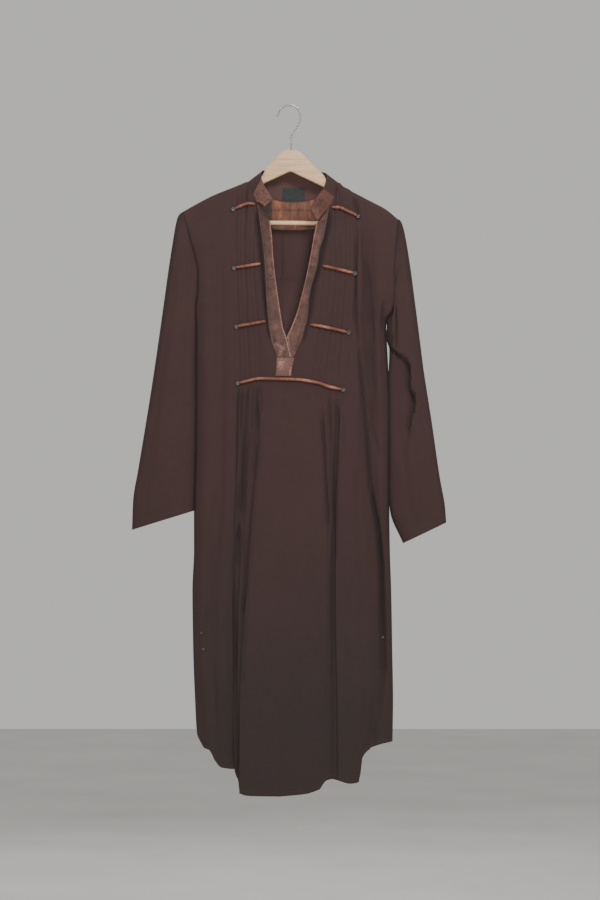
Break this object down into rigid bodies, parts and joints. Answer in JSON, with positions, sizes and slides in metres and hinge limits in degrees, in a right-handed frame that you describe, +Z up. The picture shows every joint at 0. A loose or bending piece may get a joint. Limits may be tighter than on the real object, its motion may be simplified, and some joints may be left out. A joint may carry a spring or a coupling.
{
  "type": "long kurti on a hanger",
  "caption": "Long brown kurti with a leather-bound deep V neck, stand collar, tucked front, corded pipings, long sleeves and a shirt-tail hem, on a wooden hanger.",
  "frame": {"origin": "the underside of the hook's crown, where the hanger rests on what holds it", "axes": "+Z up, the front of the garment faces -Y, and +X is to the right of someone who looks at the front"},
  "size_m": [0.591, 0.071, 1.2983],
  "materials": {
    "cloth": "matt plain weave, dark brown",
    "leather": "soft satin, brown",
    "rust_leather": "satin, rust",
    "label_cloth": "woven satin, dark",
    "dark_metal": "dark oxidised",
    "wood": "thin clear lacquer on beech",
    "steel": "plated wire"
  },
  "bodies": {
    "root": {"front_panel": "cloth", "back_panel": "cloth", "sleeve_left": "cloth", "sleeve_right": "cloth", "collar_back": "cloth", "collar_front_left": "leather", "collar_front_right": "leather", "neck_band_left": "leather", "neck_band_right": "leather", "neck_tab": "leather", "back_neck_facing": "rust_leather", "piping_left_1": "rust_leather", "piping_left_2": "rust_leather", "piping_left_3": "rust_leather", "piping_long": "rust_leather", "piping_right_1": "rust_leather", "piping_right_2": "rust_leather", "piping_right_3": "rust_leather", "neck_label": "label_cloth", "stud_left_1": "dark_metal", "stud_left_2": "dark_metal", "stud_left_3": "dark_metal", "stud_long": "dark_metal", "stud_long_far": "dark_metal", "stud_right_1": "dark_metal", "stud_right_2": "dark_metal", "stud_right_3": "dark_metal", "slit_stud_left_1": "dark_metal", "slit_stud_left_2": "dark_metal", "slit_stud_right_1": "dark_metal", "hanger_body": "wood", "hanger_bar": "wood", "hanger_hook": "steel"}
  },
  "joints": []
}
